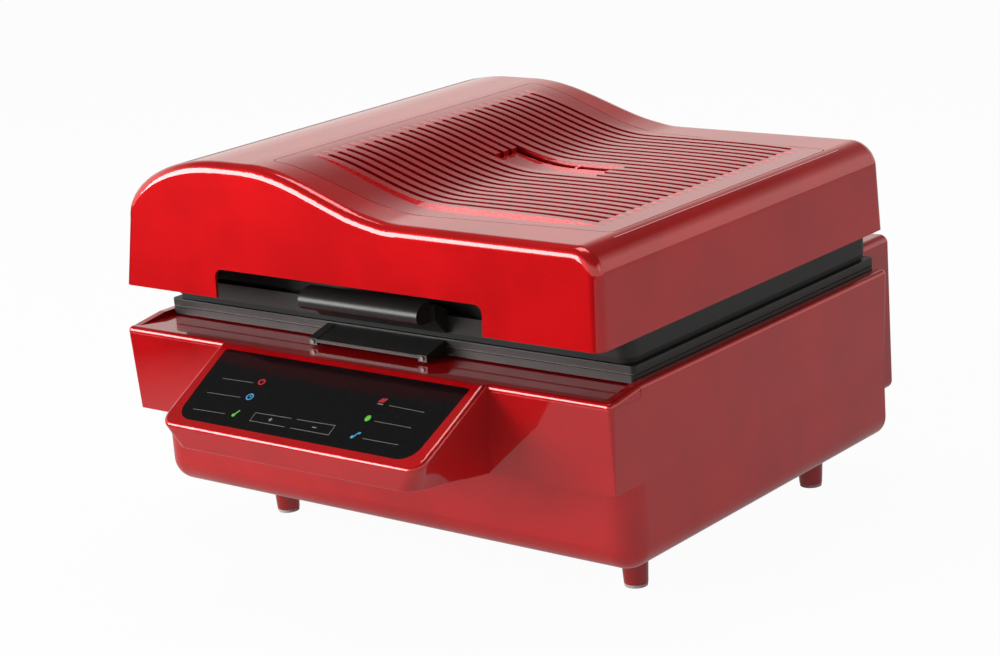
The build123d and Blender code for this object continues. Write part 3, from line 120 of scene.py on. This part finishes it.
# one material of the object: a Principled shader and what feeds it
class Surface(Graph):
    def __init__(self, name, **constants):
        self.material = bpy.data.materials.new(name)
        self.material.use_nodes = True
        super().__init__(self.material.node_tree)
        self.shader = self.tree.nodes.new("ShaderNodeBsdfPrincipled")
        output = self.tree.nodes.new("ShaderNodeOutputMaterial")
        self.tree.links.new(self.shader.outputs[0], output.inputs[0])
        for socketName, value in constants.items():
            self.set(socketName.replace("_", " "), value)
        self.place = self.node("ShaderNodeTexCoord", {}, {}, output="Object")

    def set(self, socketName, value):
        self.plug(self.shader.inputs[socketName], value)

    def stretched(self, scale):
        return self.node("ShaderNodeMapping", {}, {"Vector": self.place, "Scale": scale})

    def noise(self, scale, detail=3.0, roughness=0.5, vector=None):
        sockets = {"Vector": vector or self.place, "Scale": scale}
        sockets.update({"Detail": detail, "Roughness": roughness})
        return self.node("ShaderNodeTexNoise", {}, sockets, output="Fac")

    def spots(self, scale):
        sockets = {"Vector": self.place, "Scale": scale}
        return self.node("ShaderNodeTexVoronoi", {}, sockets, output="Distance")

    def tint(self, factor, first, second):
        sockets = {0: factor, 6: first, 7: second}
        mixed = self.node("ShaderNodeMix", {"data_type": "RGBA"}, sockets, output=2)
        self.set("Base Color", mixed)

    # the spread lies evenly around the middle roughness
    def wear(self, factor, middle, spread):
        self.set("Roughness", factor * spread + (middle - spread / 2))

    def bump(self, height, strength, distance):
        sockets = {"Height": height, "Strength": strength, "Distance": distance}
        self.set("Normal", self.node("ShaderNodeBump", {}, sockets))


# candy paint: a deep red with fine flake under a clear coat
paint = {
    "colour": (0.70, 0.006, 0.009),
    "deepColour": (0.46, 0.004, 0.006),
    "flakeScale": 900.0,
    "flakeRange": (0.1, 0.6),
    "flakeShade": 0.35,
    "cloud": (14.0, 2.0),           # scale and detail of the noise, here and below
    "cloudRange": (0.35, 0.65),
    "cloudShade": 0.35,
    "metallic": 0.30,
    "flakeMetal": 0.2,
    "smear": (38.0, 4.0, 0.6),      # and its roughness
    "roughness": 0.42,
    "spread": 0.12,
    "coatRoughness": 0.04,
    "coatIor": 1.7,
    "peel": (160.0, 2.0),
    "peelStrength": 0.25,
    "peelDepth": 0.06 * mm,
}
grillePaint = dict(paint, colour=(0.55, 0.010, 0.014), roughness=0.36)
# the housing's red is darker than the lid's only as painted shade, standing in for the dimmer light on
# the base
shadedHousingPaint = dict(paint, colour=(0.50, 0.010, 0.012))
footPaint = dict(paint, colour=(0.45, 0.010, 0.012), roughness=0.34)


def candyPaint(name, settings):
    surface = Surface(
        name,
        Coat_Weight=1.0,
        Coat_Roughness=settings["coatRoughness"],
        Coat_IOR=settings["coatIor"],
        Specular_IOR_Level=0.0,
    )
    flake = surface.between(surface.spots(settings["flakeScale"]), *settings["flakeRange"])
    cloud = surface.between(surface.noise(*settings["cloud"]), *settings["cloudRange"])
    shade = (flake * settings["flakeShade"] + cloud * settings["cloudShade"]).clamped()
    surface.tint(shade, settings["colour"], settings["deepColour"])
    surface.set("Metallic", flake * settings["flakeMetal"] + settings["metallic"])
    surface.wear(surface.noise(*settings["smear"]), settings["roughness"], settings["spread"])
    surface.bump(surface.noise(*settings["peel"]), settings["peelStrength"], settings["peelDepth"])
    return surface.material


# powder coat, moulded plastic, rubber and ceramic: a clouded tint under a fine grain
def grainedSkin(name, settings):
    surface = Surface(name, Specular_IOR_Level=settings["specular"])
    cloud = surface.noise(*settings["cloud"])
    surface.tint(cloud, *settings["colours"])
    surface.wear(cloud, settings["roughness"], settings["spread"])
    surface.bump(surface.noise(*settings["grain"]), settings["grainStrength"], settings["grainDepth"])
    return surface.material


powder = {
    "colours": ((0.008, 0.008, 0.008), (0.020, 0.019, 0.018)),
    "cloud": (26.0, 5.0, 0.65),
    "specular": 0.5,
    "roughness": 0.46,
    "spread": 0.18,
    "grain": (1400.0, 2.0),
    "grainStrength": 0.5,
    "grainDepth": 0.08 * mm,
}
moulded = {
    "colours": ((0.014, 0.014, 0.014), (0.024, 0.023, 0.022)),
    "cloud": (20.0, 4.0),
    "specular": 0.5,
    "roughness": 0.36,
    "spread": 0.16,
    "grain": (700.0, 2.0),
    "grainStrength": 0.4,
    "grainDepth": 0.05 * mm,
}
rubber = {
    "colours": ((0.010, 0.010, 0.010), (0.020, 0.020, 0.020)),
    "cloud": (30.0, 5.0, 0.6),
    "specular": 0.35,
    "roughness": 0.625,
    "spread": 0.15,
    "grain": (500.0, 3.0),
    "grainStrength": 0.3,
    "grainDepth": 0.06 * mm,
}
padRubber = dict(rubber, colours=((0.50, 0.50, 0.47), (0.62, 0.61, 0.58)), roughness=0.705)
siliconeSheet = dict(rubber, colours=((0.30, 0.28, 0.25), (0.40, 0.38, 0.35)), roughness=0.405)
ceramic = {
    "colours": ((0.78, 0.75, 0.68), (0.66, 0.62, 0.54)),
    "cloud": (60.0, 4.0),
    "specular": 0.4,
    "roughness": 0.65,
    "spread": 0.2,
    "grain": (300.0, 3.0),
    "grainStrength": 0.3,
    "grainDepth": 0.1 * mm,
}


# black glass of the control panel, with a thin film and specks of dust
blackGlass = {
    "colours": ((0.004, 0.004, 0.005), (0.010, 0.010, 0.010)),
    "dust": (240.0, 6.0, 0.7),
    "dustRange": (0.5, 0.8),
    "dustRoughness": 0.08,
    "film": (18.0, 3.0),
    "roughness": 0.06,
    "spread": 0.06,
}


def panelGlass(name, settings):
    surface = Surface(name, Specular_IOR_Level=0.5)
    dust = surface.between(surface.noise(*settings["dust"]), *settings["dustRange"])
    surface.tint(dust, *settings["colours"])
    dusty = dust * settings["dustRoughness"] + settings["roughness"]
    surface.wear(surface.noise(*settings["film"]), dusty, settings["spread"])
    return surface.material


# drawn, rolled or cast metal, with streaks along one axis where the stretch is uneven
rolledSteel = {
    "colours": ((0.60, 0.60, 0.61), (0.42, 0.42, 0.43)),
    "streaks": (60.0, 6.0, 0.7),
    "stretch": (1.0, 14.0, 14.0),
    "streakShade": 0.5,
    "stains": (12.0, 3.0),
    "stainShade": 0.5,
    "roughness": 0.34,
    "spread": 0.2,
    "bumpStrength": 0.15,
    "bumpDepth": 0.04 * mm,
}
polishedAlloy = dict(
    rolledSteel,
    colours=((0.82, 0.82, 0.82), (0.66, 0.66, 0.67)), roughness=0.18, stretch=(10.0, 1.0, 10.0),
)
castAlloy = dict(
    rolledSteel,
    colours=((0.56, 0.56, 0.56), (0.44, 0.44, 0.44)), roughness=0.42, stretch=(4.0, 4.0, 4.0),
)
screwSteel = dict(
    rolledSteel,
    colours=((0.78, 0.78, 0.78), (0.60, 0.60, 0.60)), roughness=0.22, stretch=(6.0, 6.0, 6.0),
)
blackedSteel = dict(screwSteel, colours=((0.16, 0.16, 0.16), (0.10, 0.10, 0.10)), roughness=0.34)


def streakedMetal(name, settings):
    surface = Surface(name, Metallic=1.0)
    streaks = surface.noise(*settings["streaks"], vector=surface.stretched(settings["stretch"]))
    stains = surface.noise(*settings["stains"])
    shade = (streaks * settings["streakShade"] + stains * settings["stainShade"]).clamped()
    surface.tint(shade, *settings["colours"])
    surface.wear(streaks, settings["roughness"], settings["spread"])
    surface.bump(streaks, settings["bumpStrength"], settings["bumpDepth"])
    return surface.material


# the heater's tubes
quartz = {
    "colours": ((0.90, 0.86, 0.80), (0.80, 0.74, 0.66)),
    "haze": (50.0, 3.0),
    "ior": 1.46,
    "clearness": 0.6,
    "roughness": 0.16,
    "spread": 0.2,
}


def quartzGlass(name, settings):
    surface = Surface(name, IOR=settings["ior"], Transmission_Weight=settings["clearness"])
    haze = surface.noise(*settings["haze"])
    surface.tint(haze, *settings["colours"])
    surface.wear(haze, settings["roughness"], settings["spread"])
    return surface.material


# lacquered boards, with their tracks as a raised pattern
board = {
    "colours": ((0.015, 0.10, 0.04), (0.03, 0.19, 0.08)),
    "tracks": (220.0, 1.0),
    "trackRange": (0.46, 0.54),
    "stretch": (1.0, 4.0, 1.0),
    "roughness": 0.4,
    "spread": 0.2,
    "bumpStrength": 0.3,
    "bumpDepth": 0.05 * mm,
}


def circuitBoard(name, settings):
    surface = Surface(name, Specular_IOR_Level=0.5)
    pattern = surface.noise(*settings["tracks"], vector=surface.stretched(settings["stretch"]))
    tracks = surface.between(pattern, *settings["trackRange"])
    surface.tint(tracks, *settings["colours"])
    surface.wear(tracks, settings["roughness"], settings["spread"])
    surface.bump(tracks, settings["bumpStrength"], settings["bumpDepth"])
    return surface.material


bySlot = {
    "red_shell": candyPaint("candyRed", paint),
    "grille_red": candyPaint("grilleRed", grillePaint),
    # the housing's paint carries painted shade: the same red as the lid, made darker
    "housing_red": candyPaint("shadedHousingRed", shadedHousingPaint),
    "red_feet": candyPaint("footRed", footPaint),
    "black_frame": grainedSkin("frameBlack", powder),
    "black_steel": grainedSkin("trayBlack", dict(powder, roughness=0.52)),
    "dark_plastic": grainedSkin("handleBlack", moulded),
    "panel_black": panelGlass("panelGlass", blackGlass),
    "silicone": grainedSkin("silicone", siliconeSheet),
    "black_rubber": grainedSkin("sealRubber", rubber),
    "pad_rubber": grainedSkin("padRubber", padRubber),
    "steel": streakedMetal("rolledSteel", rolledSteel),
    "bright_steel": streakedMetal("screwSteel", screwSteel),
    "reflector": streakedMetal("polishedAlloy", polishedAlloy),
    "well_alloy": streakedMetal("castAlloy", castAlloy),
    "quartz": quartzGlass("quartzGlass", quartz),
    "ceramic": grainedSkin("firedCeramic", ceramic),
    "circuit": circuitBoard("circuitBoard", board),
}
byNode = {"frame_handle_screws": streakedMetal("blackedSteel", blackedSteel)}

for entry in frame["record"]["subparts"]:
    node = nodes[entry["node"]]
    finish = byNode.get(entry["node"]) or bySlot[entry["material_slot"]]
    node.data.materials.clear()
    node.data.materials.append(finish)
print("finishes on", len(nodes), "nodes")


# a finished mesh becomes an object with one material
def newObject(name, mesh, material):
    data = bpy.data.meshes.new(name)
    mesh.to_mesh(data)
    mesh.free()
    data.materials.append(material)
    made = bpy.data.objects.new(name, data)
    scene.collection.objects.link(made)
    return made


def newPiece(name, mesh, body, material):
    piece = newObject(name, mesh, material)
    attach(piece, body)


# places on the panel: u to the right of its middle, v up the slope from the ledge's edge
panel = {
    "drop": 50.4 * mm,      # how far the console's slope falls,
    "run": 93.0 * mm,       # and over what depth
    "back": 8.8 * mm,       # from the ledge's edge to the glass, along the slope
    "thick": 2.5 * mm,      # of the glass
    "lift": 0.05 * mm,      # print over the glass
}
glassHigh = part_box("control_panel_glass")[1]
tilt = math.atan2(panel["drop"], panel["run"])
slopeUp = Vector((0, math.cos(tilt), math.sin(tilt)))
slopeOut = Vector((0, -math.sin(tilt), math.cos(tilt)))
slopeAcross = Vector((1, 0, 0))
glassEdge = Vector((0, glassHigh[1] - panel["thick"] * math.sin(tilt), glassHigh[2]))
printOrigin = glassEdge + slopeUp * panel["back"] + slopeOut * panel["lift"]


def printed(u, v):
    return printOrigin + slopeAcross * (u * mm) + slopeUp * (v * mm)


# a line of even width through points on the panel, open or closed
def addStroke(mesh, points, width, closed=False):
    sharpest = 0.3          # keeps the point of a sharp corner short
    corners = [Vector(point) for point in points]
    count = len(corners)
    sides = []
    for index, corner in enumerate(corners):
        before = corners[index - 1] if closed or index else corner
        after = corners[(index + 1) % count] if closed or index < count - 1 else corner
        along = [step.normalized() for step in (corner - before, after - corner) if step.length]
        across = [Vector((-step.y, step.x)) for step in along]
        normal = sum(across, Vector((0, 0))).normalized()
        reach = normal * (width / 2 / max(normal.dot(across[0]), sharpest))
        sides.append([mesh.verts.new(printed(*end)) for end in (corner + reach, corner - reach)])
    for index in range(count if closed else count - 1):
        first, second = sides[index], sides[(index + 1) % count]
        mesh.faces.new((first[1], second[1], second[0], first[0]))


def addShape(mesh, points):
    mesh.faces.new([mesh.verts.new(printed(*point)) for point in points])


def arcPoints(centre, radius, start, end, steps):
    angles = [math.radians(start + (end - start) * step / steps) for step in range(steps + 1)]
    return [(centre[0] + radius * math.cos(a), centre[1] + radius * math.sin(a)) for a in angles]


def roundPoints(centre, radius, count=24):
    return arcPoints(centre, radius, 0, 360 - 360 / count, count - 1)


# printed marks in mm: key rules, the outlined bar with its two signs, and six key symbols
marks = {
    "rules": (
        ((-121.7, -43.7), (-84.0, -42.7)),
        ((-126.0, -62.6), (-85.0, -61.6)),
        ((-126.4, -83.9), (-87.2, -82.7)),
        ((76.8, -41.6), (116.6, -42.4)),
        ((73.7, -61.0), (115.0, -61.2)),
        ((75.0, -81.6), (115.0, -81.4)),
    ),
    "ruleWidth": 0.55,
    "bar": ((-55.3, -75.3), (37.9, -73.4), (38.3, -84.7), (-54.9, -85.2)),
    "barGap": (-13.0, -6.5),
    "barWidth": 0.6,
    "plus": (-33.8, -80.0),
    "plusReach": 2.2,
    "minus": (18.0, -79.5),
    "minusReach": 2.4,
    "signWidth": 0.8,
    "leftKeys": ((-75.4, -39.9), (-75.3, -59.0), (-76.0, -80.0)),
    "rightKeys": ((67.4, -38.7), (65.1, -59.3), (65.5, -79.6)),
    "symbolWidth": 1.3,
    "symbolSize": 4.0,
}
inks = {
    "greyInk": {"colour": (0.22, 0.23, 0.21), "glow": 0.0},
    "paleInk": {"colour": (0.42, 0.43, 0.40), "glow": 0.0},
    "redInk": {"colour": (0.62, 0.03, 0.04), "glow": 0.15},
    "blueInk": {"colour": (0.06, 0.36, 0.62), "glow": 0.15},
    "greenInk": {"colour": (0.12, 0.55, 0.05), "glow": 0.15},
}
inkMeshes = {inkName: bmesh.new() for inkName in inks}

for rule in marks["rules"]:
    addStroke(inkMeshes["greyInk"], rule, marks["ruleWidth"])


# the bar's outline is open at the gap, so each half is one stroke
def onLine(first, second, u):
    share = (u - first[0]) / (second[0] - first[0])
    return (u, first[1] + (second[1] - first[1]) * share)


topLeft, topRight, lowRight, lowLeft = marks["bar"]
gapLeft, gapRight = marks["barGap"]
for gap, highEnd, lowEnd in ((gapLeft, topLeft, lowLeft), (gapRight, topRight, lowRight)):
    half = (onLine(topLeft, topRight, gap), highEnd, lowEnd, onLine(lowLeft, lowRight, gap))
    addStroke(inkMeshes["greyInk"], half, marks["barWidth"])


def addSign(place, across, upward):
    u, v = place
    ends = ((u - across, v - upward), (u + across, v + upward))
    addStroke(inkMeshes["paleInk"], ends, marks["signWidth"])


addSign(marks["plus"], marks["plusReach"], 0)
addSign(marks["plus"], 0, marks["plusReach"])
addSign(marks["minus"], marks["minusReach"], 0)


# a key's symbol is drawn around its place, in shares of the symbols' size and line width
def aroundKey(key, points):
    return [(key[0] + u * marks["symbolSize"], key[1] + v * marks["symbolSize"]) for u, v in points]


def keyStroke(inkName, key, points, width=1.0, closed=False):
    addStroke(inkMeshes[inkName], aroundKey(key, points), marks["symbolWidth"] * width, closed)


def keyShape(inkName, key, points):
    addShape(inkMeshes[inkName], aroundKey(key, points))


powerKey, clockKey, warmthKey = marks["leftKeys"]
keyStroke("redInk", powerKey, arcPoints((0, 0), 0.8, 125, 415, 20))
keyStroke("redInk", powerKey, ((0, 0.15), (0, 1)))
keyStroke("blueInk", clockKey, roundPoints((0, 0), 0.85, 20), closed=True)
keyStroke("blueInk", clockKey, ((0, 0.6), (0, 0), (0.45, 0)), width=0.75)
keyShape("greenInk", warmthKey, roundPoints((-0.3, -0.6), 0.5))
keyStroke("greenInk", warmthKey, ((-0.2, -0.4), (0.5, 1)), width=1.3)

heaterKey, leafKey, dropsKey = marks["rightKeys"]
for shift in (-0.55, 0, 0.55):
    keyStroke("redInk", heaterKey, ((shift - 0.5, -0.3), (shift + 0.1, 1)))
keyStroke("paleInk", heaterKey, ((-1, -0.75), (0.6, -0.75)), width=0.6)
leaf = arcPoints((-0.35, 0), 1.05, -55, 55, 10) + arcPoints((0.35, 0), 1.05, 125, 235, 10)
keyShape("greenInk", leafKey, leaf)
keyShape("blueInk", dropsKey, roundPoints((-0.5, -0.6), 0.45))
keyStroke("blueInk", dropsKey, ((-0.15, -0.5), (0.35, 0.8)))
keyShape("blueInk", dropsKey, roundPoints((0.7, 0.75), 0.32))


# printed ink with fine scuffs, the coloured symbols a little lit from behind
inkFilm = {"specular": 0.4, "scuffs": (900.0, 3.0), "scuffShade": 0.8, "roughness": 0.4, "spread": 0.2}


def inkMaterial(name, ink):
    surface = Surface(name, Specular_IOR_Level=inkFilm["specular"])
    scuffs = surface.noise(*inkFilm["scuffs"])
    scuffed = tuple(part * inkFilm["scuffShade"] for part in ink["colour"])
    surface.tint(scuffs, ink["colour"], scuffed)
    surface.wear(scuffs, inkFilm["roughness"], inkFilm["spread"])
    surface.set("Emission Color", ink["colour"])
    surface.set("Emission Strength", ink["glow"])
    return surface.material


for inkName, ink in inks.items():
    newPiece(inkName + "Print", inkMeshes[inkName], "base", inkMaterial(inkName, ink))
print("panel marks printed,", len(inks), "inks")


# floor and world: white to the camera, darker far off in what the paint mirrors
studio = {
    "floorSize": 14.0,
    "floorColour": (0.86, 0.86, 0.86),
    "cameraWhite": 0.96,                # share of plain white in what the camera sees
    "glossShare": 0.7,                  # share of even grey in what the paint mirrors
    "glossGrey": 0.40,
    "darkSide": (-0.64, -0.77, 0.0),    # the way in which the mirrored floor darkens,
    "nearFloor": 0.68,                  # from here
    "farFloor": 0.86,                   # to here, in metres
    "farDark": 0.97,
    "ambient": 0.26,
    "backdrop": 0.95,
    "backdropColour": (1.0, 0.97, 0.93),
    "ceilingStart": 0.34,               # height of the mirrored direction where the backdrop ends
    "ceilingEnd": 0.58,
    "ceilingDark": 0.90,
}


def paintFloor(tree):
    paper = Graph(tree)
    glossy = paper.rays("Glossy")
    spot = paper.node("ShaderNodeTexCoord", {}, {}, output="Object")
    sockets = {0: spot, 1: studio["darkSide"]}
    away = paper.node("ShaderNodeVectorMath", {"operation": "DOT_PRODUCT"}, sockets, output="Value")
    dimming = paper.between(away, studio["nearFloor"], studio["farFloor"]) * glossy * studio["farDark"]
    lit = paper.node("ShaderNodeBsdfDiffuse", {}, {"Color": studio["floorColour"]})
    mirrored = paper.either(glossy * studio["glossShare"], lit, paper.glow(studio["glossGrey"]))
    whitened = paper.either(paper.clearRays() * studio["cameraWhite"], mirrored, paper.glow(1.0))
    darkened = paper.either(dimming, whitened, paper.glow(0.0))
    paper.node("ShaderNodeOutputMaterial", {}, {0: darkened}, output=None)


def paintSky(tree):
    sky = Graph(tree, glowKind="ShaderNodeBackground")
    glossy = sky.rays("Glossy")
    heading = sky.node("ShaderNodeTexCoord", {}, {}, output="Generated")
    height = sky.node("ShaderNodeSeparateXYZ", {}, {0: heading}, output="Z")
    ceiling = sky.between(height, studio["ceilingStart"], studio["ceilingEnd"]) * glossy
    backdrop = sky.glow(studio["backdrop"], studio["backdropColour"])
    lowSky = sky.either(glossy, sky.glow(studio["ambient"]), backdrop)
    highSky = sky.either(ceiling * studio["ceilingDark"], lowSky, sky.glow(0.0))
    wholeSky = sky.either(sky.clearRays(), highSky, sky.glow(1.0))
    sky.node("ShaderNodeOutputWorld", {}, {0: wholeSky}, output=None)


floorMesh = bmesh.new()
bmesh.ops.create_grid(floorMesh, x_segments=1, y_segments=1, size=studio["floorSize"] / 2)
floorMaterial = bpy.data.materials.new("paleFloor")
floorMaterial.use_nodes = True
paintFloor(floorMaterial.node_tree)
floor = newObject("studioFloor", floorMesh, floorMaterial)

world = bpy.data.worlds.new("studioWorld")
scene.world = world
world.use_nodes = True
paintSky(world.node_tree)

# lamps: place, size and power in watts, all turned to one point
lamps = {
    "keyLamp": {"at": (-2.1, -2.5, 1.05), "size": (2.3, 1.4), "power": 92.0},
    "topLamp": {"at": (-0.3, 0.2, 2.6), "size": (1.6, 1.2), "power": 22.0},
    "sideLamp": {"at": (2.6, 0.2, 1.3), "size": (1.0, 1.0), "power": 3.0},
}
aim = Vector((0, 0, 0.18))
for lampName, lamp in lamps.items():
    data = bpy.data.lights.new(lampName, "AREA")
    data.shape = "RECTANGLE"
    data.size, data.size_y = lamp["size"]
    data.energy = lamp["power"]
    holder = bpy.data.objects.new(lampName, data)
    scene.collection.objects.link(holder)
    holder.location = lamp["at"]
    holder.rotation_euler = (aim - Vector(lamp["at"])).to_track_quat("-Z", "Y").to_euler()

# the camera, as fitted to the photograph
view = {
    "azimuth": 39.64,
    "elevation": 16.43,
    "roll": -4.42,
    "distance": 2.3665,
    "target": (0.0, 0.022252, 0.150),
    "photoWidth": 1000.0,               # pixels, as are the next two
    "focalLength": 2480.3,
    "shift": (-11.77, 33.65),
    "sensorWidth": 36.0,
    "clipEnd": 50.0,
}
azimuth = math.radians(view["azimuth"])
elevation = math.radians(view["elevation"])
roll = math.radians(view["roll"])
back = Vector((
    math.sin(azimuth) * math.cos(elevation),
    -math.cos(azimuth) * math.cos(elevation),
    math.sin(elevation),
))
right = (-back).cross(Vector((0, 0, 1))).normalized()
up = right.cross(-back)
turnedRight = right * math.cos(roll) + up * math.sin(roll)
turnedUp = up * math.cos(roll) - right * math.sin(roll)
cameraData = bpy.data.cameras.new("photoCamera")
cameraData.lens = view["focalLength"] * view["sensorWidth"] / view["photoWidth"]
cameraData.sensor_width = view["sensorWidth"]
cameraData.sensor_fit = "HORIZONTAL"
cameraData.shift_x = view["shift"][0] / view["photoWidth"]
cameraData.shift_y = view["shift"][1] / view["photoWidth"]
cameraData.clip_end = view["clipEnd"]
camera = bpy.data.objects.new("photoCamera", cameraData)
scene.collection.objects.link(camera)
place = Matrix((turnedRight, turnedUp, back)).transposed().to_4x4()
place.translation = Vector(view["target"]) + back * view["distance"]
camera.matrix_world = place
scene.camera = camera
scene.view_settings.view_transform = "Standard"
print("stage, lamps and camera set")
